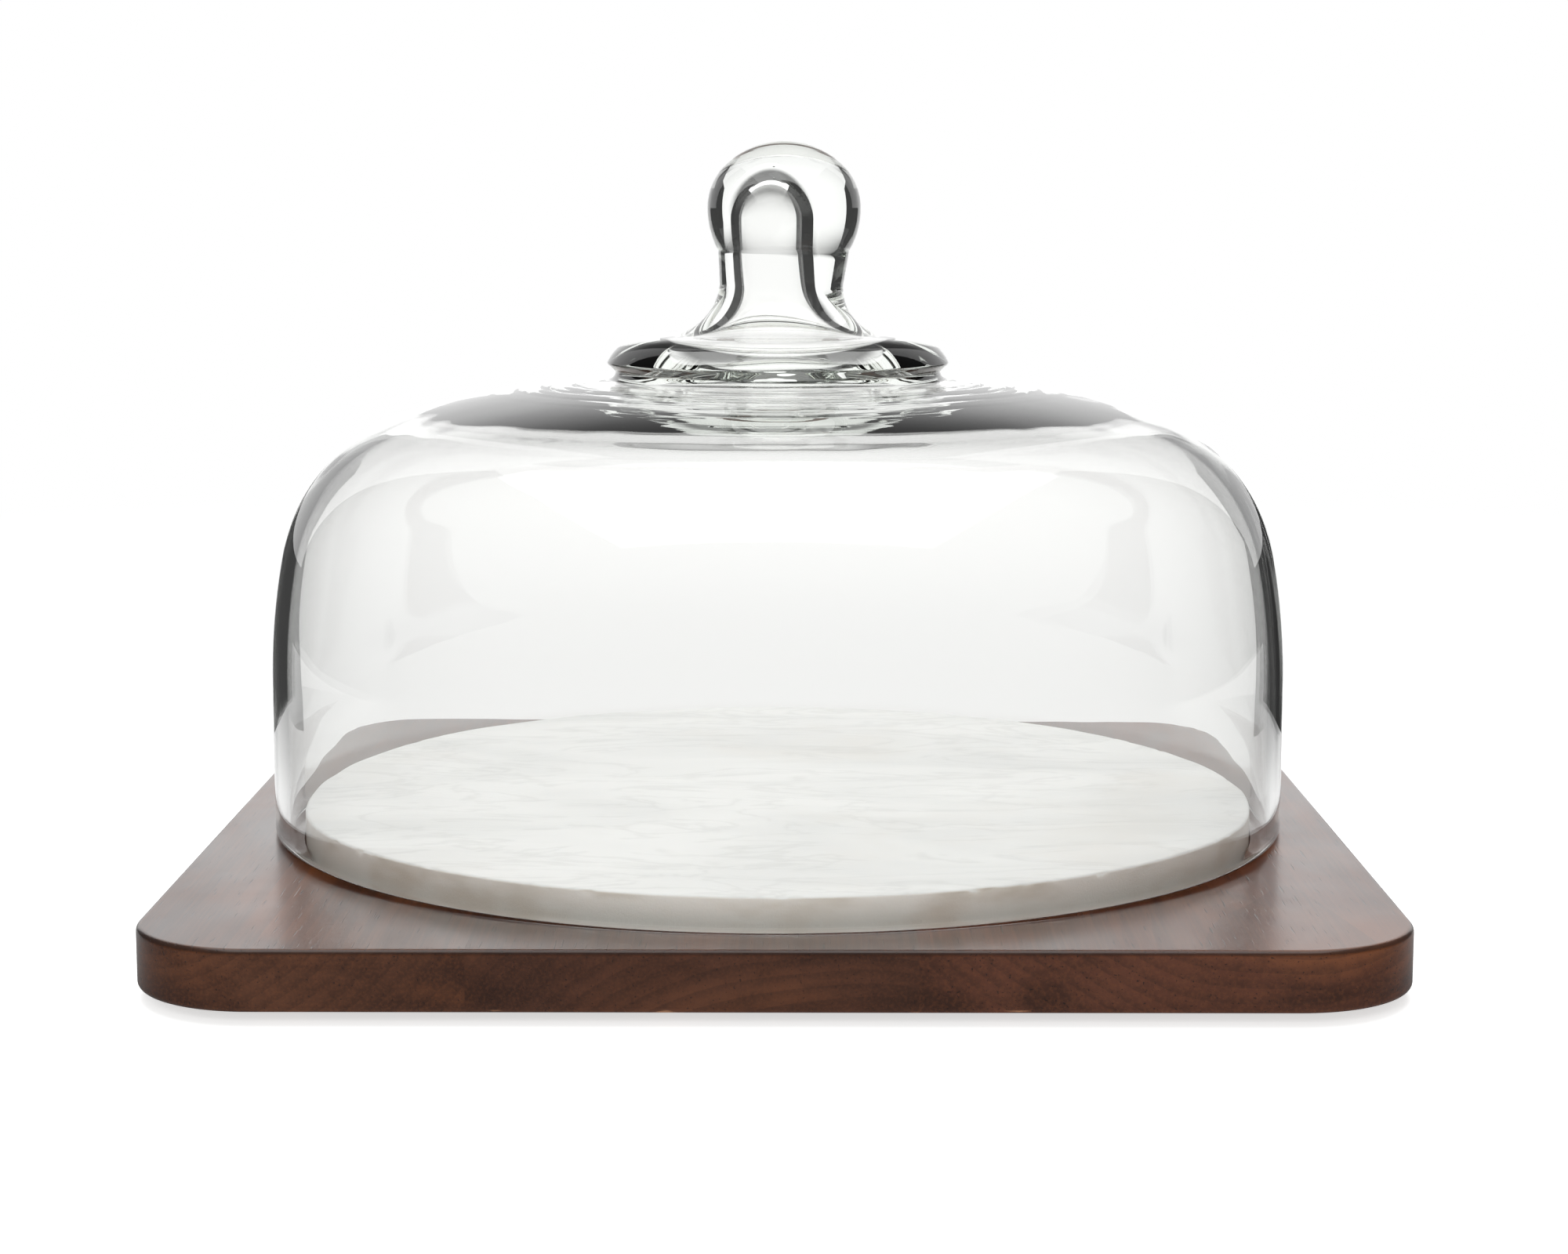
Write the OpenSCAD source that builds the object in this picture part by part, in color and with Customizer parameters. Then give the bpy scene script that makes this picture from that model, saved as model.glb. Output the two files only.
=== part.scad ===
// Cheese dome: a blown glass cover that stands round a marble slab let into a square wooden board.
// The origin is the centre of the plane that the rubber feet rest on, with +Z up and the front at -Y.

/* [Board] */
// Side of the square board
board_side = 305; // [300:1:330]
// Thickness of the board
board_thick = 15; // [13:0.5:22]
// Radius of the board's corners in plan
corner_r = 31; // [10:1:45]
// Rounding along the board's top and bottom edges
edge_r = 1.5; // [0.5:0.25:3]
// Width of the left stave
left_stave_w = 81.5; // [60:0.5:95]
// Width of the middle stave
middle_stave_w = 104.5; // [70:0.5:120]

/* [Marble] */
// Diameter of the marble slab
marble_d = 261; // [240:1:263]
// Thickness of the marble slab
marble_thick = 12; // [10:0.5:14]
// Height of the marble's top above the board's top
marble_proud = 7.8; // [5:0.1:9]
// Eased arris round the marble's top
marble_arris = 0.8; // [0.3:0.1:1.5]
// Gap between the marble and the wall of its pocket
pocket_gap = 0.4; // [0.2:0.1:0.8]
// Thickness of the adhesive dabs under the marble
dab_thick = 0.5; // [0.3:0.1:1]

/* [Glass wall] */
// Outer radius of the dome's straight wall
dome_r = 138.6; // [136:0.1:142]
// Thickness of the glass
wall = 4; // [3:0.25:4.5]
// Height of the straight part of the wall
straight_h = 40.5; // [30:0.5:50]
// Radius of the long curve above the straight wall
lower_curve_r = 186; // [150:1:220]
// Radius of the shoulder
shoulder_r = 48.5; // [40:0.5:55]
// Radius of the shallow crown
crown_r = 228.5; // [200:0.5:260]
// Radius of the crown's flatter inner surface, so that the glass thickens towards the knob
crown_inner_r = 277; // [250:1:300]

/* [Glass knob] */
// Radius of the disc that the knob stands on
disc_r = 46.9; // [45.5:0.1:48]
// Radius of the disc's rounded side
disc_side_r = 12.5; // [11:0.5:13]
// Radius of the waist under the disc
waist_r = 44.5; // [43:0.1:45]
// Smallest radius of the neck
neck_r = 16.9; // [16:0.1:18]
// Radius of the flare at the foot of the neck
neck_flare_r = 13.7; // [12:0.1:15]
// Largest radius of the knob
knob_r = 20.9; // [20:0.1:23]
// Radius of the hollow inside the knob
hollow_r = 8.7; // [7:0.1:9]
// Glass above the hollow
knob_cap = 11.5; // [9:0.1:13]

/* [Feet] */
// Diameter of a rubber foot
foot_d = 13; // [10:0.5:16]
// Height of a rubber foot
foot_h = 3; // [2:0.25:4]
// Distance from the board's side to the centre of a foot
foot_inset = 32; // [30:1:45]

/* [Lifting] */
// Gap between the dome's rim and the board at rest
rest_gap = 0.05; // [0.03:0.01:0.2]
// Draw the dome this far above the board
dome_raised = 0; // [0:5:250]

/* [Hidden] */
$fn = 96;

half = board_side / 2;
inner_half = half - corner_r;
board_z = foot_h;
board_top = board_z + board_thick;
joint_1 = -half + left_stave_w;
joint_2 = joint_1 + middle_stave_w;

marble_r = marble_d / 2;
marble_z = board_top + marble_proud - marble_thick;
pocket_r = marble_r + pocket_gap;
pocket_z = marble_z - dab_thick;
dab_r = 9;
dab_ring_r = 85;
dab_count = 8;

foot_edge_r = 1;
foot_at = half - foot_inset;

// Angles, measured from the horizontal, where the glass passes from one curve to the next
lower_curve_a = 10.8;
shoulder_a = 73.6;
haunch_a = 79.5;
disc_side_a = 22.6;
knob_cap_a = 47;
// Inside, a tighter curve joins the shoulder to the crown
haunch_r = 119;
// The hollow curve from the crown up to the waist, and the height of the disc's edge above the crown
waist_fillet_r = 2.2;
disc_above_crown = 4.2;
disc_top_rise = 0.2;
// The knob's round side, its underside and the height of its widest ring above the neck
knob_side_r = 16.1;
knob_under_r = 23.4;
knob_above_neck = 20.5;
neck_h = 9;
rim_steps = 6;
// The inner surface leaves the crown at this radius and sweeps up into the knob's hollow
inner_sweep_r = 52;
inner_sweep_pull = 20;
hollow_drop = 15;

// Points along an arc about centre c, from angle a0 to angle a1
function arc(c, r, a0, a1, steps) =
  [for (i = [0:steps]) let (a = a0 + (a1 - a0) * i / steps) c + r * [cos(a), sin(a)]];

// Points along a cubic curve from p0 to p3
function sweep(p0, p1, p2, p3, steps) =
  [for (i = [0:steps]) let (t = i / steps, u = 1 - t)
    u * u * u * p0 + 3 * u * u * t * p1 + 3 * u * t * t * p2 + t * t * t * p3];

// Centres of the wall's curves, each tangent to the one below it
lower_c = [dome_r - lower_curve_r, straight_h];
shoulder_c = lower_c + (lower_curve_r - shoulder_r) * [cos(lower_curve_a), sin(lower_curve_a)];
crown_c = shoulder_c + (shoulder_r - crown_r) * [cos(shoulder_a), sin(shoulder_a)];
crown_end_a = acos((waist_r + waist_fillet_r - crown_c.x) / crown_r);

// Centres of the knob's curves
waist_fillet_c = [waist_r + waist_fillet_r, crown_c.y + crown_r * sin(crown_end_a) + waist_fillet_r];
disc_edge = [disc_r, waist_fillet_c.y - waist_fillet_r + disc_above_crown];
disc_side_c = disc_edge - disc_side_r * [cos(disc_side_a), sin(disc_side_a)];
flare_c = [neck_r + neck_flare_r, disc_side_c.y + disc_side_r + disc_top_rise + neck_flare_r];
knob_c = [knob_r - knob_side_r, flare_c.y + knob_above_neck];
under_c = [knob_r - knob_under_r, knob_c.y];
under_end_a = -asin((knob_above_neck - neck_h) / knob_under_r);
cap_r = knob_side_r + knob_c.x / cos(knob_cap_a);
cap_c = [0, knob_c.y + (knob_side_r - cap_r) * sin(knob_cap_a)];
knob_top = cap_c.y + cap_r;
// Slope of the line that touches both the flare and the disc's side
disc_span = flare_c - disc_side_c;
disc_slope = acos((neck_flare_r + disc_side_r) / norm(disc_span)) - atan2(-disc_span.x, disc_span.y);

// The inner surface's own curves, and where it leaves the crown
haunch_c = shoulder_c + (shoulder_r - wall - haunch_r) * [cos(shoulder_a), sin(shoulder_a)];
ceiling_c = haunch_c + (haunch_r - crown_inner_r) * [cos(haunch_a), sin(haunch_a)];
inner_sweep_a = acos((inner_sweep_r - ceiling_c.x) / crown_inner_r);
inner_sweep_p = ceiling_c + crown_inner_r * [cos(inner_sweep_a), sin(inner_sweep_a)];
hollow_c = [0, knob_top - knob_cap - hollow_r];

outer_line = concat(
  arc(lower_c, lower_curve_r, 0, lower_curve_a, 6),
  arc(shoulder_c, shoulder_r, lower_curve_a + 4, shoulder_a, 15),
  arc(crown_c, crown_r, shoulder_a + 2, crown_end_a, 8),
  arc(waist_fillet_c, waist_fillet_r, 255, 180, 4),
  arc(disc_side_c, disc_side_r, disc_side_a, 90 - disc_slope, 8),
  arc(flare_c, neck_flare_r, 270 - disc_slope, 180, 10),
  arc(under_c, knob_under_r, under_end_a, 0, 6),
  arc(knob_c, knob_side_r, 5, knob_cap_a, 8),
  arc(cap_c, cap_r, knob_cap_a + 5, 90, 8)
);
inner_line = concat(
  arc(hollow_c, hollow_r, 90, 0, 8),
  sweep([hollow_r, flare_c.y], [hollow_r, flare_c.y - hollow_drop],
    inner_sweep_p + inner_sweep_pull * [-sin(inner_sweep_a), cos(inner_sweep_a)], inner_sweep_p, 14),
  arc(ceiling_c, crown_inner_r, inner_sweep_a - 1, haunch_a, 4),
  arc(haunch_c, haunch_r, haunch_a - 1.5, shoulder_a, 3),
  arc(shoulder_c, shoulder_r - wall, shoulder_a - 4, lower_curve_a, 15),
  arc(lower_c, lower_curve_r - wall, lower_curve_a - 2, 0, 6)
);
rim_line = arc([dome_r - wall / 2, wall / 2], wall / 2, 180, 360, rim_steps);

// The board's rounded side, from its underside up to its top
function board_side_line(reach) = concat(
  arc([reach - edge_r, edge_r], edge_r, 270, 360, 4),
  arc([reach - edge_r, board_thick - edge_r], edge_r, 0, 90, 4)
);

function reversed_mirror(points) =
  [for (i = [len(points) - 1:-1:0]) [-points[i].x, points[i].y]];

// Right half of a cross-section, from its middle plane out to a rounded side
module half_section(reach) {
  polygon(concat([[0, 0]], board_side_line(reach), [[0, board_thick]]));
}

// A length of board with rounded front and back edges, between x0 and x1
module board_run(x0, x1) {
  translate([x0, 0, board_z])
    rotate([90, 0, 90])
      linear_extrude(x1 - x0)
        polygon(concat(board_side_line(half), reversed_mirror(board_side_line(half))));
}

// The rounded end of the board on the +X side: a straight strip and two quarter-round corners
module board_end() {
  translate([inner_half, inner_half, board_z])
    rotate([90, 0, 0])
      linear_extrude(2 * inner_half) half_section(corner_r);
  for (turn = [0, -90])
    translate([inner_half, turn == 0 ? inner_half : -inner_half, board_z])
      rotate([0, 0, turn])
        rotate_extrude(angle = 90) half_section(corner_r);
}

// The round pocket that the marble is let into
module pocket() {
  translate([0, 0, pocket_z]) cylinder(r = pocket_r, h = board_thick);
}

module stave_left() {
  color([0.27, 0.16, 0.12])
    difference() {
      union() {
        board_run(-inner_half, joint_1);
        mirror([1, 0, 0]) board_end();
      }
      pocket();
    }
}

module stave_middle() {
  color([0.24, 0.14, 0.11])
    difference() {
      board_run(joint_1, joint_2);
      pocket();
    }
}

module stave_right() {
  color([0.29, 0.17, 0.13])
    difference() {
      union() {
        board_run(joint_2, inner_half);
        board_end();
      }
      pocket();
    }
}

module marble_slab() {
  color([0.9, 0.9, 0.88])
    translate([0, 0, marble_z])
      rotate_extrude()
        polygon(concat(
          [[0, 0], [marble_r, 0]],
          arc([marble_r - marble_arris, marble_thick - marble_arris], marble_arris, 0, 90, 4),
          [[0, marble_thick]]
        ));
}

// Dabs of clear adhesive in the pocket: one in the middle and a ring round it
module marble_adhesive() {
  color([0.8, 0.82, 0.8])
    translate([0, 0, pocket_z]) {
      cylinder(r = dab_r, h = dab_thick);
      for (i = [0:dab_count - 1])
        rotate([0, 0, (i + 0.5) * 360 / dab_count])
          translate([dab_ring_r, 0, 0])
            cylinder(r = dab_r, h = dab_thick);
    }
}

// One piece of blown glass: the wall, the crown, the disc and the hollow knob
module glass_dome() {
  color([0.85, 0.93, 0.92, 0.35])
    translate([0, 0, board_top + rest_gap + dome_raised])
      rotate_extrude() polygon(concat(rim_line, outer_line, inner_line));
}

module foot(x, y) {
  color([0.09, 0.09, 0.09])
    translate([x, y, 0])
      rotate_extrude()
        polygon(concat(
          [[0, 0]],
          arc([foot_d / 2 - foot_edge_r, foot_edge_r], foot_edge_r, 270, 360, 4),
          [[foot_d / 2, foot_h], [0, foot_h]]
        ));
}

module foot_front_left() { foot(-foot_at, -foot_at); }
module foot_front_right() { foot(foot_at, -foot_at); }
module foot_back_left() { foot(-foot_at, foot_at); }
module foot_back_right() { foot(foot_at, foot_at); }

stave_left();
stave_middle();
stave_right();
marble_slab();
marble_adhesive();
glass_dome();
foot_front_left();
foot_front_right();
foot_back_left();
foot_back_right();
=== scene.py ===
"""Looks for a cheese dome: a blown glass cover over a marble slab let into a stained wooden board."""
import math
import bmesh
import bpy
import numpy as np
from mathutils import Matrix, Vector, noise


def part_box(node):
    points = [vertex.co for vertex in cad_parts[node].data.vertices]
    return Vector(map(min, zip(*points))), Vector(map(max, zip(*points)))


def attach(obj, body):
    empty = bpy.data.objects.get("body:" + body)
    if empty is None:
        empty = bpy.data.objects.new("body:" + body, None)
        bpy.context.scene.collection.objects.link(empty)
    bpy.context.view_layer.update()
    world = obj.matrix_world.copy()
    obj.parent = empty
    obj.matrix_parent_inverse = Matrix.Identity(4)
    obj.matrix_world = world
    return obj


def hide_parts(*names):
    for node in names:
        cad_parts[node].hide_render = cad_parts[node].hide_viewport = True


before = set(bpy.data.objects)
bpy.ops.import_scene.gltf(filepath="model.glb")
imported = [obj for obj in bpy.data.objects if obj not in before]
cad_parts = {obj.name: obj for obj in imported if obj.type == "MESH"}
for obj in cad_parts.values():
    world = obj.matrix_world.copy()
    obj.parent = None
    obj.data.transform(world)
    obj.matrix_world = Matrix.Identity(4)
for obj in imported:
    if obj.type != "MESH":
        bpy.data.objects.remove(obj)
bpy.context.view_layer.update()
MM = 0.001

# ---------------------------------------------------------------- sizes from the frame
BOARD_LO = Vector(map(min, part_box("stave_left")[0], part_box("stave_right")[0]))
BOARD_HI = Vector(map(max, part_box("stave_left")[1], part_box("stave_right")[1]))
BOARD_TOP = BOARD_HI.z
BOARD_HALF = BOARD_HI.x
BOARD_THICK = BOARD_HI.z - BOARD_LO.z
JOINT_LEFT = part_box("stave_middle")[0].x
JOINT_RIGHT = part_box("stave_middle")[1].x
MARBLE_LO, MARBLE_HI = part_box("marble_slab")
DOME_LO, DOME_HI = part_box("glass_dome")
MARBLE_R = MARBLE_HI.x
DOME_R = DOME_HI.x

# The design's other sizes, in millimetres
CORNER_R = 31
EDGE_R = 1.5
POCKET_GAP = 0.4
DAB_THICK = 0.5
MARBLE_ARRIS = 0.8
WALL = 4
FOOT_NODES = ("foot_front_left", "foot_front_right", "foot_back_left", "foot_back_right")


# ---------------------------------------------------------------- node helpers
class Tree:
    """A material's or the world's node tree, with short ways to add and join nodes."""

    def __init__(self, owner):
        owner.use_nodes = True
        self.tree = owner.node_tree
        self.tree.nodes.clear()

    def add(self, kind, inputs=None, **settings):
        made = self.tree.nodes.new(kind)
        for key, value in settings.items():
            setattr(made, key, value)
        for key, value in (inputs or {}).items():
            self.put(made.inputs[key], value)
        return made

    def put(self, socket, value):
        if isinstance(value, bpy.types.NodeSocket):
            self.tree.links.new(value, socket)
        elif isinstance(value, bpy.types.Node):
            self.tree.links.new(value.outputs[0], socket)
        else:
            socket.default_value = value

    def math(self, operation, a, b=0.0, c=0.0, clamp=False):
        return self.add("ShaderNodeMath", {0: a, 1: b, 2: c}, operation=operation, use_clamp=clamp)

    def vector(self, operation, a, b=(0, 0, 0)):
        return self.add("ShaderNodeVectorMath", {0: a, 1: b}, operation=operation)

    def split(self, vector):
        return self.add("ShaderNodeSeparateXYZ", {0: vector}).outputs

    def noise(self, vector, scale, detail=3.0, rough=0.5, distortion=0.0):
        inputs = {"Vector": vector, "Scale": scale, "Detail": detail, "Roughness": rough}
        inputs["Distortion"] = distortion
        return self.add("ShaderNodeTexNoise", inputs).outputs["Fac"]

    def smooth(self, value, low, high, out_low=0.0, out_high=1.0):
        return self.add(
            "ShaderNodeMapRange",
            {0: value, 1: low, 2: high, 3: out_low, 4: out_high},
            interpolation_type="SMOOTHSTEP",
        ).outputs[0]

    def mix(self, factor, a, b, blend="MIX"):
        made = self.add("ShaderNodeMix", data_type="RGBA", blend_type=blend)
        self.put(made.inputs[0], factor)
        self.put(made.inputs[6], a)
        self.put(made.inputs[7], b)
        return made.outputs[2]

    def mix_shader(self, factor, a, b):
        return self.add("ShaderNodeMixShader", {0: factor, 1: a, 2: b})

    def bump(self, height, strength, distance, normal=None):
        made = self.add("ShaderNodeBump", {"Height": height, "Strength": strength, "Distance": distance})
        if normal is not None:
            self.put(made.inputs["Normal"], normal)
        return made.outputs[0]

    def output(self, shader, volume=None, kind="ShaderNodeOutputMaterial"):
        made = self.add(kind, {"Surface": shader})
        if volume is not None:
            self.put(made.inputs["Volume"], volume)


def rgb(r, g, b):
    return (r, g, b, 1.0)


def smooth_step(value):
    t = min(1.0, max(0.0, value))
    return t * t * (3 - 2 * t)


# ---------------------------------------------------------------- mesh helpers
def arc(centre, radius, start, end, step=None, count=None):
    """Points along an arc between two angles in degrees: count steps, or steps of about step millimetres."""
    count = count or max(2, math.ceil(abs(math.radians(end - start)) * radius / step))
    angles = np.radians(np.linspace(start, end, count + 1))
    return [(centre[0] + radius * math.cos(a), centre[1] + radius * math.sin(a)) for a in angles]


def line(start, end, step):
    """Points along a straight line, without its two ends."""
    count = max(1, math.ceil(math.dist(start, end) / step))
    return [tuple(np.array(start) + (np.array(end) - start) * i / count) for i in range(1, count)]


def new_object(name, vertices, faces):
    mesh = bpy.data.meshes.new(name)
    mesh.from_pydata([tuple(v) for v in vertices], [], faces)
    mesh.validate()
    made = bpy.data.objects.new(name, mesh)
    bpy.context.scene.collection.objects.link(made)
    return made


def outward_normals(made):
    work = bmesh.new()
    work.from_mesh(made.data)
    bmesh.ops.recalc_face_normals(work, faces=work.faces)
    work.to_mesh(made.data)
    work.free()


def lathe(name, profile, segments, shape=None):
    """Turns a profile of (radius, height) points, in millimetres, round the Z axis.
    A point on the axis becomes one vertex. shape(radius, height, angle, index) moves the points first."""
    angles = np.linspace(0, 2 * math.pi, segments, endpoint=False)
    vertices, rings = [], []
    for index, (radius, height) in enumerate(profile):
        if radius < 1e-6:
            rings.append([len(vertices)])
            vertices.append((0, 0, height * MM))
            continue
        rings.append(list(range(len(vertices), len(vertices) + segments)))
        for a in angles:
            r, z, dx, dy = radius, height, 0.0, 0.0
            if shape is not None:
                r, z, dx, dy = shape(radius, height, a, index)
            vertices.append(((r * math.cos(a) + dx) * MM, (r * math.sin(a) + dy) * MM, z * MM))
    faces = []
    for lower, upper in zip(rings, rings[1:]):
        for i in range(segments):
            j = (i + 1) % segments
            if len(lower) == 1:
                faces.append((lower[0], upper[i], upper[j]))
            elif len(upper) == 1:
                faces.append((lower[i], upper[0], lower[j]))
            else:
                faces.append((lower[i], upper[i], upper[j], lower[j]))
    made = new_object(name, vertices, faces)
    outward_normals(made)
    made.data.shade_smooth()
    return made


# ---------------------------------------------------------------- materials
def stained_wood(name, offset, pith, tone, red):
    """Hardwood under a dark stain and satin lacquer. The grain runs along Y, round a pith at (x, z)."""
    material = bpy.data.materials.new(name)
    t = Tree(material)
    place = t.add("ShaderNodeTexCoord").outputs["Object"]
    moved = t.vector("ADD", place, offset)
    bend = t.noise(t.vector("MULTIPLY", moved, (9, 2.2, 9)), 1.0, 2.0)
    x, y, z = t.split(place)
    dx = t.math("SUBTRACT", x, pith[0])
    dz = t.math("SUBTRACT", z, pith[1])
    reach = t.math("SQRT", t.math("ADD", t.math("MULTIPLY", dx, dx), t.math("MULTIPLY", dz, dz)))
    wander = t.math("MULTIPLY_ADD", bend, 0.022, reach)
    turn = t.math("FRACT", t.math("DIVIDE", wander, 0.0034))
    ring = t.smooth(turn, 0.25, 0.95)
    streak = t.noise(t.vector("MULTIPLY", moved, (260, 5.5, 260)), 1.0, 4.0, 0.6)
    fibre = t.noise(t.vector("MULTIPLY", moved, (1300, 26, 1300)), 1.0, 2.0, 0.6)
    pore = t.smooth(t.noise(t.vector("MULTIPLY", moved, (1500, 75, 1500)), 1.0, 1.0), 0.66, 0.74)
    blotch = t.noise(t.vector("MULTIPLY", moved, (26, 14, 60)), 1.0, 3.0, 0.55, 0.6)
    patch = t.noise(t.vector("MULTIPLY", moved, (13, 9, 30)), 1.0, 2.0, 0.5, 0.8)

    dark = rgb(0.032 * tone, 0.0088 * tone, 0.0028 * tone)
    middle = rgb(0.097 * tone, (0.030 - 0.005 * red) * tone, 0.0078 * tone)
    warm = rgb(0.18 * tone, 0.052 * tone, 0.0105 * tone)
    colour = t.mix(t.smooth(blotch, 0.3, 0.68), dark, middle)
    colour = t.mix(t.math("MULTIPLY", t.smooth(patch, 0.5, 0.72), 0.62), colour, warm)
    colour = t.mix(t.math("MULTIPLY", ring, 0.34), colour, dark)
    colour = t.mix(t.math("MULTIPLY", t.smooth(streak, 0.45, 0.75), 0.35), colour, dark)
    colour = t.mix(t.math("MULTIPLY", t.smooth(fibre, 0.4, 0.7), 0.22), colour, warm)
    colour = t.mix(t.math("MULTIPLY", pore, 0.75), colour, rgb(0.010, 0.005, 0.004))

    # Painted shade: the colour darkens along the upper arris to stand for the dark it reflects there; the
    # lower arris is rubbed pale in places
    facing = t.split(t.add("ShaderNodeNewGeometry").outputs["Normal"])[2]
    upper = t.math("MULTIPLY", t.smooth(facing, 0.1, 0.5), t.smooth(facing, 0.995, 0.8))
    lower = t.math("MULTIPLY", t.smooth(facing, -0.25, -0.6), t.smooth(facing, -0.999, -0.9))
    rubbed = t.smooth(t.noise(t.vector("MULTIPLY", moved, (75, 75, 300)), 1.0, 3.0), 0.6, 0.68)
    # painted shade along the upper arris, not stain
    colour = t.mix(t.math("MULTIPLY", upper, 0.7), colour, rgb(0.016, 0.008, 0.006))
    colour = t.mix(t.math("MULTIPLY", t.math("MULTIPLY", lower, rubbed), 0.8), colour, rgb(0.36, 0.17, 0.08))

    dents = t.noise(t.vector("MULTIPLY", moved, (60, 30, 60)), 1.0, 2.0)
    normal = t.bump(dents, 0.25, 0.0004)
    normal = t.bump(fibre, 0.12, 0.00012, normal)
    normal = t.bump(t.math("SUBTRACT", 1.0, pore), 0.35, 0.00012, normal)
    rough = t.smooth(blotch, 0.2, 0.8, 0.3, 0.42)
    coat_rough = t.smooth(dents, 0.25, 0.75, 0.14, 0.24)
    shader = t.add(
        "ShaderNodeBsdfPrincipled",
        {
            "Base Color": colour,
            "Roughness": rough,
            "Normal": normal,
            "Coat Weight": 0.75,
            "Coat Roughness": coat_rough,
            "Coat IOR": 1.5,
            "Coat Normal": normal,
        },
    )
    t.output(shader)
    return material


def white_marble():
    """White marble with faint grey and beige veins, and a sawn edge that carries painted shade, greyer
    towards its foot.
    """
    material = bpy.data.materials.new("white_marble")
    t = Tree(material)
    place = t.add("ShaderNodeTexCoord").outputs["Object"]
    stretched = t.vector("MULTIPLY", place, (1.0, 2.6, 2.0))
    cloud = t.noise(stretched, 9.0, 5.0, 0.55, 0.9)
    vein_noise = t.noise(stretched, 14.0, 4.0, 0.6, 1.6)
    vein = t.smooth(t.math("ABSOLUTE", t.math("SUBTRACT", vein_noise, 0.5)), 0.035, 0.0)
    beige_at = t.smooth(t.noise(place, 16.0, 3.0), 0.55, 0.75)
    fleck = t.smooth(t.noise(place, 620.0, 2.0), 0.74, 0.79)
    crystal = t.noise(place, 1500.0, 2.0, 0.7)

    white = rgb(0.905, 0.905, 0.89)
    colour = t.mix(t.smooth(cloud, 0.35, 0.75), white, rgb(0.81, 0.815, 0.805))
    colour = t.mix(t.math("MULTIPLY", vein, 0.28), colour, rgb(0.6, 0.6, 0.585))
    colour = t.mix(t.math("MULTIPLY", beige_at, 0.3), colour, rgb(0.76, 0.72, 0.66))
    colour = t.mix(t.math("MULTIPLY", fleck, 0.3), colour, rgb(0.42, 0.4, 0.36))

    # The sawn edge, with painted shade that greys it towards its foot
    facing = t.split(t.add("ShaderNodeNewGeometry").outputs["Normal"])[2]
    edge = t.smooth(facing, 0.7, 0.2)
    height = t.split(place)[2]
    # painted shade: the side greys towards its foot, where it meets the board
    foot = t.smooth(height, MARBLE_HI.z - 0.001, BOARD_TOP)
    smudge = t.noise(t.vector("MULTIPLY", place, (45, 45, 120)), 1.0, 3.0)
    side = t.mix(foot, rgb(0.93, 0.89, 0.84), rgb(0.8, 0.79, 0.735))
    side = t.mix(t.smooth(smudge, 0.4, 0.75), side, rgb(0.72, 0.66, 0.58))
    colour = t.mix(edge, colour, side)
    normal = t.bump(crystal, t.math("MULTIPLY_ADD", edge, 0.35, 0.05), 0.0002)
    shader = t.add(
        "ShaderNodeBsdfPrincipled",
        {
            "Base Color": colour,
            "Roughness": t.math("MULTIPLY_ADD", edge, 0.25, t.smooth(cloud, 0.3, 0.7, 0.3, 0.42)),
            "Normal": normal,
            "Subsurface Weight": 0.12,
            "Subsurface Radius": (0.004, 0.0035, 0.003),
            "Subsurface Scale": 1.0,
        },
    )
    t.output(shader)
    return material


def clear_glass():
    """Clear blown glass. Light that lands on what stands inside goes straight through it."""
    material = bpy.data.materials.new("clear_glass")
    t = Tree(material)
    place = t.add("ShaderNodeTexCoord").outputs["Object"]
    cord = t.noise(t.vector("MULTIPLY", place, (38, 38, 11)), 1.0, 1.0)
    normal = t.bump(cord, 0.25, 0.0004)
    glass = t.add(
        "ShaderNodeBsdfPrincipled",
        {
            "Base Color": rgb(0.995, 0.995, 0.99),
            "Roughness": 0.0,
            "IOR": 1.5,
            "Transmission Weight": 1.0,
            "Normal": normal,
        },
    )
    path = t.add("ShaderNodeLightPath").outputs
    straight = t.math("MAXIMUM", path["Is Shadow Ray"], path["Is Diffuse Ray"])
    through = t.add("ShaderNodeBsdfTransparent", {"Color": rgb(0.97, 0.97, 0.965)})
    tint = t.add("ShaderNodeVolumeAbsorption", {"Color": rgb(0.79, 0.86, 0.78), "Density": 6.0})
    t.output(t.mix_shader(straight, glass, through), tint)
    return material


def black_rubber():
    material = bpy.data.materials.new("black_rubber")
    t = Tree(material)
    place = t.add("ShaderNodeTexCoord").outputs["Object"]
    grain = t.noise(place, 2600.0, 3.0, 0.6)
    wear = t.noise(place, 320.0, 3.0)
    colour = t.mix(t.smooth(wear, 0.45, 0.75), rgb(0.018, 0.018, 0.019), rgb(0.05, 0.048, 0.046))
    shader = t.add(
        "ShaderNodeBsdfPrincipled",
        {
            "Base Color": colour,
            "Roughness": t.smooth(wear, 0.3, 0.7, 0.55, 0.75),
            "Normal": t.bump(grain, 0.3, 0.0001),
        },
    )
    t.output(shader)
    return material


def clear_adhesive():
    material = bpy.data.materials.new("clear_adhesive")
    t = Tree(material)
    place = t.add("ShaderNodeTexCoord").outputs["Object"]
    cloud = t.noise(place, 240.0, 3.0)
    shader = t.add(
        "ShaderNodeBsdfPrincipled",
        {
            "Base Color": t.mix(cloud, rgb(0.72, 0.73, 0.7), rgb(0.82, 0.83, 0.81)),
            "Roughness": t.smooth(cloud, 0.3, 0.7, 0.3, 0.45),
            "Subsurface Weight": 0.4,
            "Subsurface Radius": (0.002, 0.002, 0.002),
            "Normal": t.bump(cloud, 0.2, 0.0002),
        },
    )
    t.output(shader)
    return material


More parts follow.
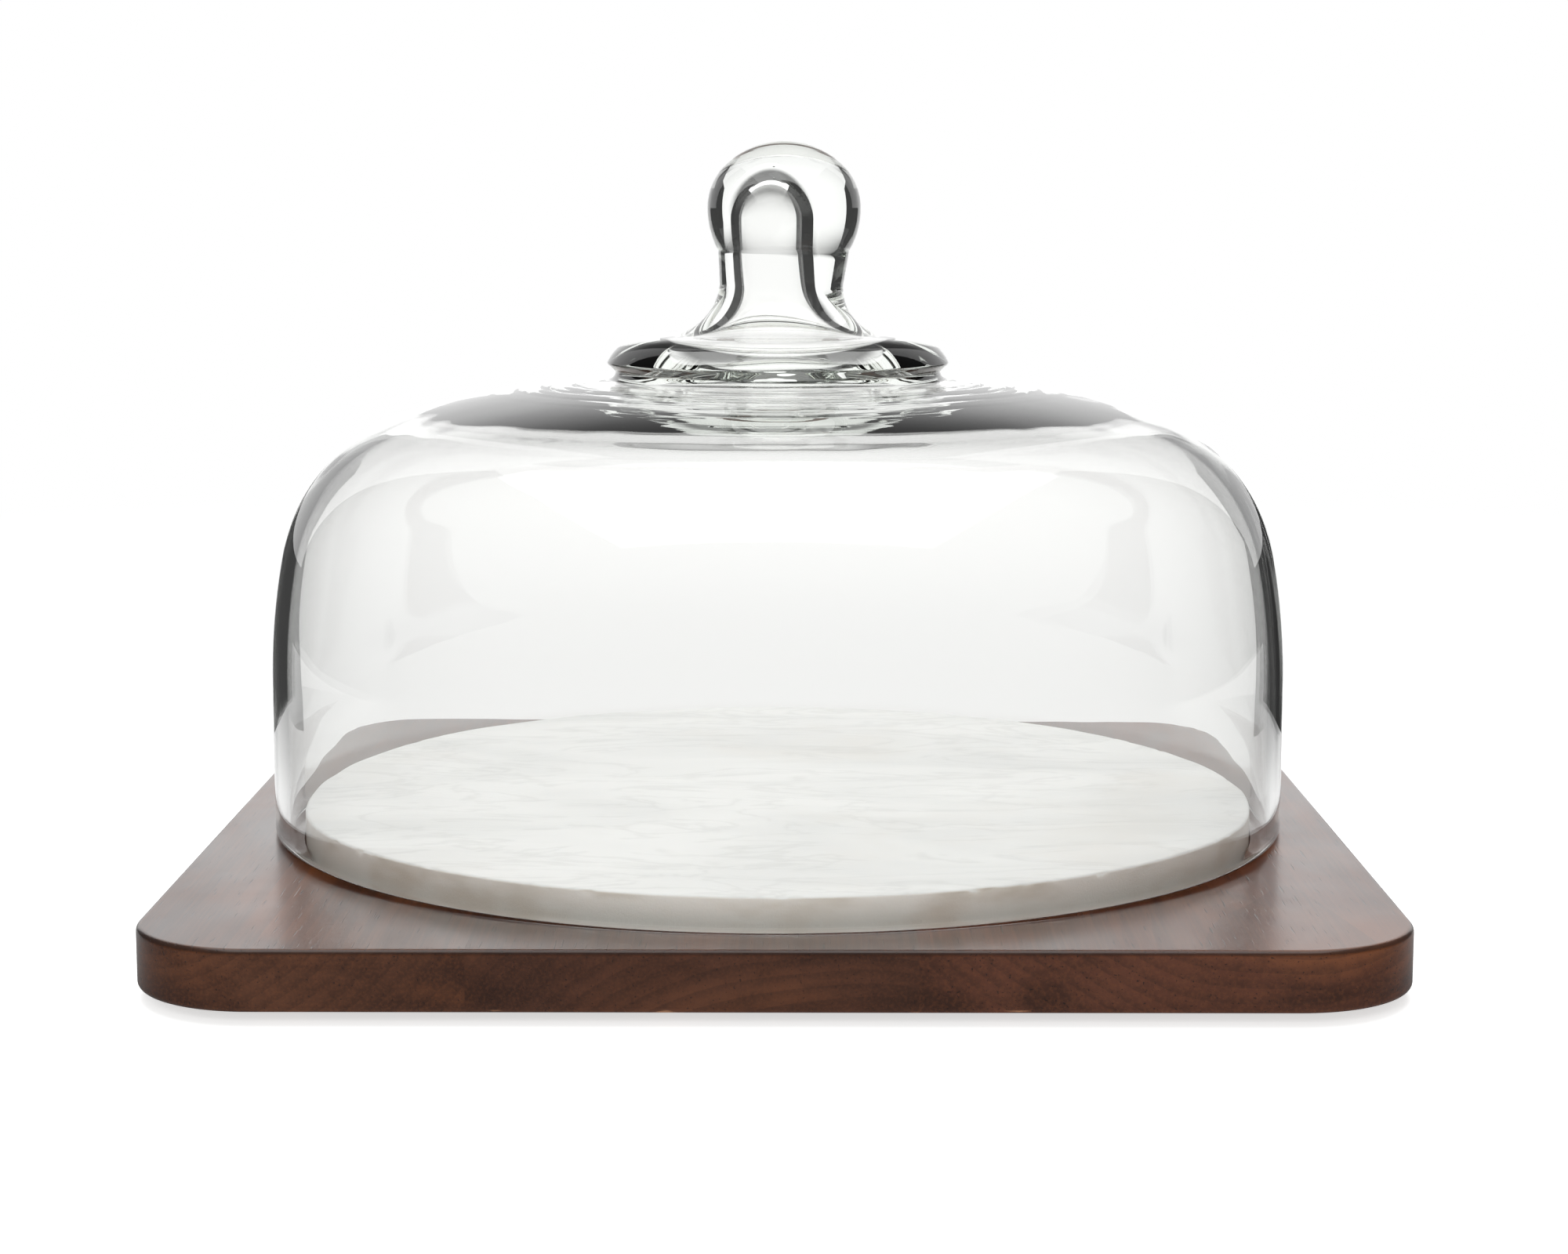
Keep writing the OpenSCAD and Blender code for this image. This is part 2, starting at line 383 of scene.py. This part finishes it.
# ---------------------------------------------------------------- the board
def stave_outline(left, right, inset):
    """A stave's plan from x = left to x = right, in millimetres, moved in by inset from the board's sides."""
    half = BOARD_HALF / MM
    reach = half - inset
    corner = half - CORNER_R
    steps = 28
    points = []
    if right > corner:
        points += arc((corner, -corner), CORNER_R - inset, -90, 0, count=steps)
        points += arc((corner, corner), CORNER_R - inset, 0, 90, count=steps)
    else:
        points += [(right, -reach), (right, reach)]
    if left < -corner:
        points += arc((-corner, corner), CORNER_R - inset, 90, 180, count=steps)
        points += arc((-corner, -corner), CORNER_R - inset, 180, 270, count=steps)
    else:
        points += [(left, reach), (left, -reach)]
    return points


def cut_pocket(stave, cutter):
    cut = stave.modifiers.new("pocket", "BOOLEAN")
    cut.operation = "DIFFERENCE"
    cut.solver = "EXACT"
    cut.object = cutter
    graph = bpy.context.evaluated_depsgraph_get()
    mesh = bpy.data.meshes.new_from_object(stave.evaluated_get(graph))
    stave.modifiers.clear()
    stave.data = mesh


def build_stave(name, left, right, cutter, material):
    """One stave: a rounded plan with its upper and lower edges rounded over, less its share of the pocket."""
    steps = 6
    levels = []
    for k in range(steps + 1):
        a = math.radians(90 * k / steps)
        levels.append((EDGE_R * (1 - math.sin(a)), EDGE_R * (1 - math.cos(a))))
    levels += [(inset, BOARD_THICK / MM - z) for inset, z in reversed(levels)]
    count = max(len(stave_outline(left, right, inset)) for inset, z in levels)
    vertices, faces = [], []
    for inset, z in levels:
        outline = stave_outline(left, right, inset)
        vertices += [(x * MM, y * MM, BOARD_LO.z + z * MM) for x, y in outline]
    for ring in range(len(levels) - 1):
        for i in range(count):
            j = (i + 1) % count
            a, b = ring * count, (ring + 1) * count
            faces.append((a + i, a + j, b + j, b + i))
    last = (len(levels) - 1) * count
    faces.append(tuple(range(count))[::-1])
    faces.append(tuple(range(last, last + count)))
    stave = new_object(name, vertices, faces)
    cut_pocket(stave, cutter)
    outward_normals(stave)
    stave.data.shade_smooth()
    stave.data.set_sharp_from_angle(angle=math.radians(40))
    weigh = stave.modifiers.new("flat_tops", "WEIGHTED_NORMAL")
    weigh.keep_sharp = True
    stave.data.materials.clear()
    stave.data.materials.append(material)
    return stave


def build_board():
    pocket_floor = MARBLE_LO.z / MM - DAB_THICK
    pocket_r = MARBLE_R / MM + POCKET_GAP
    above = BOARD_TOP / MM + 5
    profile = [(0, pocket_floor), (pocket_r, pocket_floor), (pocket_r, above), (0, above)]
    cutter = lathe("pocket_cutter", profile, 256)
    edges = (-BOARD_HALF / MM, JOINT_LEFT / MM, JOINT_RIGHT / MM, BOARD_HALF / MM)
    looks = (
        ("stave_left", (0.37, 1.30, 0.11), (-0.150, 0.060), 1.0, 0.2),
        ("stave_middle", (2.91, 0.42, 0.73), (0.010, -0.085), 0.82, 0.6),
        ("stave_right", (5.17, 2.63, 0.29), (0.120, 0.090), 1.04, 1.0),
    )
    for i, (node, offset, pith, tone, red) in enumerate(looks):
        material = stained_wood("stained_" + node, offset, pith, tone, red)
        stave = build_stave(node + "_finished", edges[i], edges[i + 1], cutter, material)
        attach(stave, "base")
        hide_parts(node)
    bpy.data.objects.remove(cutter)


# ---------------------------------------------------------------- the marble
def marble_shape(radius, height, angle, index):
    """The slab's rim is a little out of round, with small chips along its upper arris."""
    edge = radius * MM / MARBLE_R
    if edge < 0.985:
        return radius, height, 0.0, 0.0
    p = Vector((math.cos(angle), math.sin(angle), 0)) * MARBLE_R
    wave = noise.noise(p * 18) * 0.10
    chip = max(0.0, noise.noise(p * 260 + Vector((3, 7, height * 0.4))) - 0.36)
    near_arris = math.exp(-((height - MARBLE_HI.z / MM + 0.5) / 0.7) ** 2)
    bite = 2.2 * chip * near_arris
    return radius + wave - 0.12 - bite, height - 0.5 * bite, 0.0, 0.0


def build_marble():
    low, high, reach = MARBLE_LO.z / MM, MARBLE_HI.z / MM, MARBLE_R / MM
    profile = [(0, low), (reach * 0.5, low), (reach - 1, low), (reach, low + 0.6)]
    profile += line((reach, low + 0.6), (reach, high - MARBLE_ARRIS), 0.9)
    profile += arc((reach - MARBLE_ARRIS, high - MARBLE_ARRIS), MARBLE_ARRIS, 0, 90, 0.2)
    profile += [(reach - 2, high), (reach - 5, high), (reach * 0.8, high), (reach * 0.4, high), (0, high)]
    slab = lathe("marble_slab_finished", profile, 720, marble_shape)
    slab.data.materials.append(white_marble())
    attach(slab, "base")
    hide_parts("marble_slab")


# ---------------------------------------------------------------- the glass
# The dome's curves in millimetres above its rim; each touches the next
STRAIGHT_H = 40.5
LOWER_R, LOWER_A = 186, 10.8
SHOULDER_R, SHOULDER_A = 48.5, 73.6
CROWN_R = 228.5
WAIST_R, WAIST_FILLET_R = 44.5, 2.2
DISC_R, DISC_SIDE_R, DISC_SIDE_A, DISC_ABOVE_CROWN, DISC_TOP_RISE = 46.9, 12.5, 22.6, 4.2, 0.2
NECK_R, FLARE_R, NECK_H = 16.9, 13.7, 9
KNOB_R, KNOB_SIDE_R, KNOB_UNDER_R, KNOB_ABOVE_NECK, KNOB_CAP_A = 20.9, 16.1, 23.4, 20.5, 47
HOLLOW_R, KNOB_CAP = 8.7, 11.5
HAUNCH_R, HAUNCH_A, INNER_CROWN_R = 119, 79.5, 277
SWEEP_R, SWEEP_PULL, HOLLOW_DROP = 52, 20, 15
DISC_EDGE_R = 0.6
# How far the knob and the hollow in it lean to one side, and the height over which they do
KNOB_LEAN, HOLLOW_LEAN = 1.7, -0.8
LEAN_FROM, LEAN_OVER, LEAN_WITHIN_R = 130, 32, 40
# Blown glass: the wander of the inside wall, and the radii between which the crown carries rings
WANDER = 0.3
RINGS_FROM, RINGS_TO = 48, 80


def polar(radius, angle):
    return np.array((radius * math.cos(math.radians(angle)), radius * math.sin(math.radians(angle))))


def curve(p0, p1, p2, p3, count):
    """Points along a cubic curve."""
    t = np.linspace(0, 1, count)[:, None]
    u = 1 - t
    weights = (u**3, 3 * u * u * t, 3 * u * t * t, t**3)
    points = sum(weight * np.array(p) for weight, p in zip(weights, (p0, p1, p2, p3)))
    return [tuple(p) for p in points]


def glass_profile():
    """The glass's section, from the top of the knob down the outside, round the rim, and up the inside."""
    reach = DOME_R / MM
    lower_c = np.array((reach - LOWER_R, STRAIGHT_H))
    shoulder_c = lower_c + polar(LOWER_R - SHOULDER_R, LOWER_A)
    crown_c = shoulder_c + polar(SHOULDER_R - CROWN_R, SHOULDER_A)
    crown_end = math.degrees(math.acos((WAIST_R + WAIST_FILLET_R - crown_c[0]) / CROWN_R))
    waist_z = crown_c[1] + CROWN_R * math.sin(math.radians(crown_end))
    fillet_c = np.array((WAIST_R + WAIST_FILLET_R, waist_z + WAIST_FILLET_R))
    side_c = np.array((DISC_R, waist_z + DISC_ABOVE_CROWN)) - polar(DISC_SIDE_R, DISC_SIDE_A)
    flare_c = np.array((NECK_R + FLARE_R, side_c[1] + DISC_SIDE_R + DISC_TOP_RISE + FLARE_R))
    knob_c = np.array((KNOB_R - KNOB_SIDE_R, flare_c[1] + KNOB_ABOVE_NECK))
    under_c = np.array((KNOB_R - KNOB_UNDER_R, knob_c[1]))
    under_end = -math.degrees(math.asin((KNOB_ABOVE_NECK - NECK_H) / KNOB_UNDER_R))
    cap_r = KNOB_SIDE_R + knob_c[0] / math.cos(math.radians(KNOB_CAP_A))
    cap_c = np.array((0, knob_c[1] + (KNOB_SIDE_R - cap_r) * math.sin(math.radians(KNOB_CAP_A))))
    span = flare_c - side_c
    lean = math.atan2(-span[0], span[1])
    slope = math.degrees(math.acos((FLARE_R + DISC_SIDE_R) / math.hypot(*span)) - lean)

    fine, coarse = 0.7, 2.0
    outer = [(0, cap_c[1] + cap_r)]
    outer += arc(cap_c, cap_r, 90, KNOB_CAP_A, fine)[1:]
    outer += arc(knob_c, KNOB_SIDE_R, KNOB_CAP_A, 0, fine)[1:]
    outer += arc(under_c, KNOB_UNDER_R, 0, under_end, fine)[1:]
    outer += line(outer[-1], (NECK_R, flare_c[1]), fine)
    outer += arc(flare_c, FLARE_R, 180, 270 - slope, fine)
    side_end = DISC_SIDE_A + 3
    side = arc(side_c, DISC_SIDE_R, 90 - slope, side_end, 0.5)
    outer += line(outer[-1], side[0], fine) + side
    outer += arc(side_c + polar(DISC_SIDE_R - DISC_EDGE_R, side_end), DISC_EDGE_R, side_end, -45, 0.12)[1:]
    outer += line(outer[-1], (WAIST_R, waist_z + WAIST_FILLET_R), 0.4)
    outer += arc(fillet_c, WAIST_FILLET_R, 180, 270, 0.4)
    outer += arc(crown_c, CROWN_R, crown_end, SHOULDER_A, 1.0)[1:]
    outer += arc(shoulder_c, SHOULDER_R, SHOULDER_A, LOWER_A, 1.5)[1:]
    outer += arc(lower_c, LOWER_R, LOWER_A, 0, coarse)[1:]
    outer += line(outer[-1], (reach, WALL / 2), coarse)
    rim = arc((reach - WALL / 2, WALL / 2), WALL / 2, 360, 180, 0.35)

    inner_reach = reach - WALL
    haunch_c = shoulder_c + polar(SHOULDER_R - WALL - HAUNCH_R, SHOULDER_A)
    ceiling_c = haunch_c + polar(HAUNCH_R - INNER_CROWN_R, HAUNCH_A)
    sweep_a = math.degrees(math.acos((SWEEP_R - ceiling_c[0]) / INNER_CROWN_R))
    sweep_p = ceiling_c + polar(INNER_CROWN_R, sweep_a)
    hollow_c = (0, cap_c[1] + cap_r - KNOB_CAP - HOLLOW_R)
    inner = line((inner_reach, WALL / 2), (inner_reach, STRAIGHT_H), coarse)
    inner += arc(lower_c, LOWER_R - WALL, 0, LOWER_A, coarse)
    inner += arc(shoulder_c, SHOULDER_R - WALL, LOWER_A, SHOULDER_A, 1.5)[1:]
    inner += arc(haunch_c, HAUNCH_R, SHOULDER_A, HAUNCH_A, 1.0)[1:]
    inner += arc(ceiling_c, INNER_CROWN_R, HAUNCH_A, sweep_a, 1.0)[1:]
    pulled = sweep_p + polar(SWEEP_PULL, sweep_a + 90)
    neck = (HOLLOW_R, flare_c[1])
    inner += curve(sweep_p, pulled, (HOLLOW_R, flare_c[1] - HOLLOW_DROP), neck, 60)[1:]
    inner += line(neck, (HOLLOW_R, hollow_c[1]), fine)
    inner += arc(hollow_c, HOLLOW_R, 0, 90, 0.5)
    inner[-1] = (0, inner[-1][1])
    return outer + rim + inner, len(outer) + len(rim) // 2


def build_glass():
    profile, inner_from = glass_profile()
    base = DOME_LO.z / MM

    def blown(radius, height, angle, index):
        """Blown glass is never quite true: the wall's thickness wanders and the crown carries faint rings."""
        inside = index > inner_from
        r, z = radius, height
        if inside and height > 8 and radius > 12:
            p = Vector((math.cos(angle) * 1.3, math.sin(angle) * 1.3, height * 0.012))
            wander = noise.noise(p + Vector((4.2, 1.7, 0.3))) * WANDER
            fade = min(1.0, (height - 8) / 20) * min(1.0, (radius - 12) / 20)
            r += wander * fade
        if not inside and RINGS_FROM < radius < RINGS_TO and height > 90:
            rings = math.sin(radius * 1.9) * 0.03 + math.sin(radius * 0.83 + 1.0) * 0.05
            z += rings * min(1.0, (radius - RINGS_FROM) / 4) * min(1.0, (RINGS_TO - radius) / 16)
        lean = (HOLLOW_LEAN if inside else KNOB_LEAN) * smooth_step((height - LEAN_FROM) / LEAN_OVER)
        return r, z + base, lean if radius < LEAN_WITHIN_R else 0.0, 0.0

    dome = lathe("glass_dome_blown", profile, 256, blown)
    for v in dome.data.vertices:
        if v.co.x == 0 and v.co.y == 0:
            v.co.z += DOME_LO.z
    dome.data.materials.append(clear_glass())
    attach(dome, "dome")
    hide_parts("glass_dome")


# ---------------------------------------------------------------- the feet and the adhesive
def build_feet():
    material = black_rubber()
    for node in FOOT_NODES:
        low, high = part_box(node)
        centre = (low + high) / 2
        r, h = (high.x - low.x) / 2 / MM, high.z / MM
        profile = [(0, 0.25), (r * 0.35, 0.18), (r * 0.62, 0.0)]
        profile += arc((r - 1.2, 1.0), 1.0, 270, 350, 0.2)
        profile += [(r, h - 0.4), (r, h), (0, h)]
        foot = lathe(node + "_bumper", profile, 64)
        foot.data.set_sharp_from_angle(angle=math.radians(50))
        foot.data.transform(Matrix.Translation((centre.x, centre.y, 0)))
        foot.data.materials.append(material)
        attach(foot, "base")
        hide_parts(node)


def dress_adhesive():
    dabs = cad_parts["marble_adhesive"]
    dabs.data.materials.clear()
    dabs.data.materials.append(clear_adhesive())


# ---------------------------------------------------------------- floor, light and camera
# The camera stands where the object's perspective says, in metres from the board's middle
CAMERA_PLACE = (0.0058, -0.818, 0.1708)
CAMERA_DOWN = 8.19
CAMERA_TURN = 0.289
CAMERA_LENS = 68.4
# What the glass and the lacquer see, in metres: a table that is bright behind the board and dim before
# it, a lit paper whose light falls off upwards and sideways, a dark card standing each side of it with its
# inner edge stepping inwards higher up, and a soft box overhead. It all turns with the camera, so that the
# glass has the same dark edges from every side.
TABLE_HALF, TABLE_NEAR_LIGHT, TABLE_FAR_LIGHT = 0.64, 0.12, 1.0
TABLE_SIDES_FROM, TABLE_SIDES_TO, TABLE_SIDES_DIM = 0.17, 0.30, 0.45
PAPER_AT, PAPER_HALF, PAPER_TOP = 0.30, 0.35, 1.0
PAPER_FOOT_LIGHT, PAPER_LIGHT, PAPER_FULL_FROM = 1.0, 1.17, 0.12
PAPER_FALLS_FROM, PAPER_FALLS_TO, PAPER_DIM = 0.22, 0.38, 0.2
PAPER_SIDES_FROM, PAPER_SIDES_DIM = 0.10, 0.93
CARD_AT, CARD_TO, CARD_TOP = 0.22, 0.37, 0.6
CARD_LOW_FROM, CARD_LOW_TOP, CARD_HIGH_FROM, CARD_HIGH_FOOT = 0.209, 0.085, 0.172, 0.125
CARD_SHEEN = 0.95
BOX_AT, BOX_HALF, BOX_FRONT, BOX_BACK, BOX_LIGHT = 0.9, 0.55, -0.6, 0.45, 1.3
ROOM_DARK, ROOM_UP = 0.05, 0.09


def build_floor():
    size = 8.0
    floor = new_object(
        "floor", [(-size, -size, 0), (size, -size, 0), (size, size, 0), (-size, size, 0)], [(0, 1, 2, 3)]
    )
    material = bpy.data.materials.new("pale_floor")
    t = Tree(material)
    path = t.add("ShaderNodeLightPath").outputs
    bent = t.math("MAXIMUM", path["Is Transmission Ray"], path["Is Glossy Ray"])
    dark = t.add("ShaderNodeEmission", {"Color": rgb(1, 1, 1), "Strength": ROOM_DARK})
    lit = t.add("ShaderNodeBsdfDiffuse", {"Color": rgb(0.86, 0.86, 0.855)})
    lift = t.add("ShaderNodeEmission", {"Color": rgb(1, 1, 0.995), "Strength": 0.62})
    near = t.add("ShaderNodeAddShader", {0: lit, 1: lift})
    far = t.add("ShaderNodeEmission", {"Color": rgb(1, 1, 1), "Strength": 1.0})
    place = t.add("ShaderNodeTexCoord").outputs["Object"]
    distance = t.vector("LENGTH", place).outputs["Value"]
    plain = t.mix_shader(t.smooth(distance, 0.45, 1.1), near, far)
    t.output(t.mix_shader(bent, plain, dark))
    floor.data.materials.append(material)


def emitter(name, colour, strength):
    material = bpy.data.materials.new(name)
    t = Tree(material)
    if callable(strength):
        strength = strength(t)
    t.output(t.add("ShaderNodeEmission", {"Color": colour, "Strength": strength}))
    return material


def table_light(t):
    """Dim in front of the board, bright behind it, and falling away at both sides."""
    x, y = t.split(t.add("ShaderNodeTexCoord").outputs["Object"])[:2]
    level = t.smooth(y, -0.17, 0.13, TABLE_NEAR_LIGHT, TABLE_FAR_LIGHT)
    sides = t.smooth(t.math("ABSOLUTE", x), TABLE_SIDES_FROM, TABLE_SIDES_TO, 1, TABLE_SIDES_DIM)
    return t.math("MULTIPLY", level, sides)


def paper_light(t):
    """As bright as the table at its foot, brightest behind the dome, and dimmer above and at the sides."""
    x, _, z = t.split(t.add("ShaderNodeTexCoord").outputs["Object"])
    rise = t.smooth(z, 0, PAPER_FULL_FROM, PAPER_FOOT_LIGHT, PAPER_LIGHT)
    fall = t.smooth(z, PAPER_FALLS_FROM, PAPER_FALLS_TO, 1, PAPER_DIM)
    sides = t.smooth(t.math("ABSOLUTE", x), PAPER_SIDES_FROM, PAPER_HALF, 1, PAPER_SIDES_DIM)
    return t.math("MULTIPLY", t.math("MULTIPLY", rise, fall), sides)


def card_light(t):
    """Dark through glass and off the dome's wall, and bright for rays that climb off the board's lacquer."""
    path = t.add("ShaderNodeLightPath").outputs
    outside = t.math("LESS_THAN", path["Transmission Depth"], 0.5)
    back = t.split(t.add("ShaderNodeNewGeometry").outputs["Incoming"])[2]
    climbing = t.math("LESS_THAN", back, 0.0)
    sheen = t.math("MULTIPLY", t.math("MULTIPLY", path["Is Glossy Ray"], outside), climbing)
    return t.math("MULTIPLY_ADD", sheen, CARD_SHEEN - ROOM_DARK, ROOM_DARK)


def build_glass_set():
    """The table, paper, cards and soft box. Only rays that have met glass or lacquer see them."""
    lift = 0.0002
    vertices, faces = [], []

    def panel(corners):
        faces.append(tuple(range(len(vertices), len(vertices) + len(corners))))
        vertices.extend(corners)

    half = TABLE_HALF
    panel([(-half, -half, lift), (half, -half, lift), (half, half, lift), (-half, half, lift)])
    wide, at = PAPER_HALF, PAPER_AT
    panel([(-wide, at, 0), (wide, at, 0), (wide, at, PAPER_TOP), (-wide, at, PAPER_TOP)])
    edge = [(CARD_LOW_FROM, 0), (CARD_LOW_FROM, CARD_LOW_TOP), (CARD_HIGH_FROM, CARD_HIGH_FOOT)]
    edge += [(CARD_HIGH_FROM, CARD_TOP), (CARD_TO, CARD_TOP), (CARD_TO, 0)]
    for side in (-1, 1):
        panel([(side * x, CARD_AT, z) for x, z in edge])
    wide, up = BOX_HALF, BOX_AT
    panel([(-wide, BOX_FRONT, up), (wide, BOX_FRONT, up), (wide, BOX_BACK, up), (-wide, BOX_BACK, up)])
    made = new_object("glass_set", vertices, faces)
    made.data.materials.append(emitter("lit_table", rgb(1, 1, 1), table_light))
    made.data.materials.append(emitter("lit_paper", rgb(1, 1, 1), paper_light))
    made.data.materials.append(emitter("dark_card", rgb(1, 1, 1), card_light))
    made.data.materials.append(emitter("soft_box", rgb(1, 1, 1), BOX_LIGHT))
    for face, slot in zip(made.data.polygons, (0, 1, 2, 2, 3)):
        face.material_index = slot
    made.visible_camera = False
    made.visible_diffuse = False
    made.visible_shadow = False
    follow = made.constraints.new("COPY_ROTATION")
    follow.target = bpy.context.scene.camera
    follow.use_x = False
    follow.use_y = False


def build_world():
    world = bpy.data.worlds.new("studio")
    bpy.context.scene.world = world
    world.cycles.sampling_method = "NONE"
    t = Tree(world)
    path = t.add("ShaderNodeLightPath").outputs
    ambient = 0.35
    strength = t.math("ADD", path["Is Camera Ray"], t.math("MULTIPLY", path["Is Diffuse Ray"], ambient))
    up = t.split(t.add("ShaderNodeTexCoord").outputs["Generated"])[2]
    strength = t.math("MAXIMUM", strength, t.smooth(up, 0.25, 0.6, ROOM_DARK, ROOM_UP))
    sky = t.add("ShaderNodeBackground", {"Color": rgb(1, 1, 1), "Strength": strength})
    t.output(sky, kind="ShaderNodeOutputWorld")


def soft_light(name, place, target, size, power, glossy):
    data = bpy.data.lights.new(name, "AREA")
    data.shape = "RECTANGLE"
    data.size, data.size_y = size
    data.energy = power
    made = bpy.data.objects.new(name, data)
    made.location = place
    made.rotation_euler = (Vector(target) - Vector(place)).to_track_quat("-Z", "Y").to_euler()
    made.visible_camera = False
    made.visible_transmission = False
    made.visible_glossy = glossy
    bpy.context.scene.collection.objects.link(made)


def build_lights():
    middle = (0, 0, BOARD_TOP + 0.05)
    soft_light("overhead", (0, 0.25, 1.3), middle, (1.3, 1.0), 14, False)
    soft_light("front_fill", (-0.25, -1.7, 0.9), middle, (1.2, 0.8), 11.5, False)


def build_camera():
    data = bpy.data.cameras.new("camera")
    data.sensor_width = 36
    data.lens = CAMERA_LENS
    data.clip_start = 0.01
    data.clip_end = 50
    made = bpy.data.objects.new("camera", data)
    made.location = Vector(CAMERA_PLACE) + Vector((0, 0, BOARD_TOP))
    made.rotation_euler = (math.radians(90 - CAMERA_DOWN), 0, math.radians(CAMERA_TURN))
    bpy.context.scene.collection.objects.link(made)
    bpy.context.scene.camera = made


def set_render_look():
    scene = bpy.context.scene
    scene.view_settings.view_transform = "Standard"
    scene.cycles.max_bounces = 24
    scene.cycles.transmission_bounces = 24
    scene.cycles.transparent_max_bounces = 24
    scene.cycles.glossy_bounces = 10
    scene.cycles.diffuse_bounces = 3
    scene.cycles.sample_clamp_indirect = 6.0


build_board()
build_marble()
build_glass()
build_feet()
dress_adhesive()
build_floor()
build_world()
build_lights()
build_camera()
build_glass_set()
set_render_look()
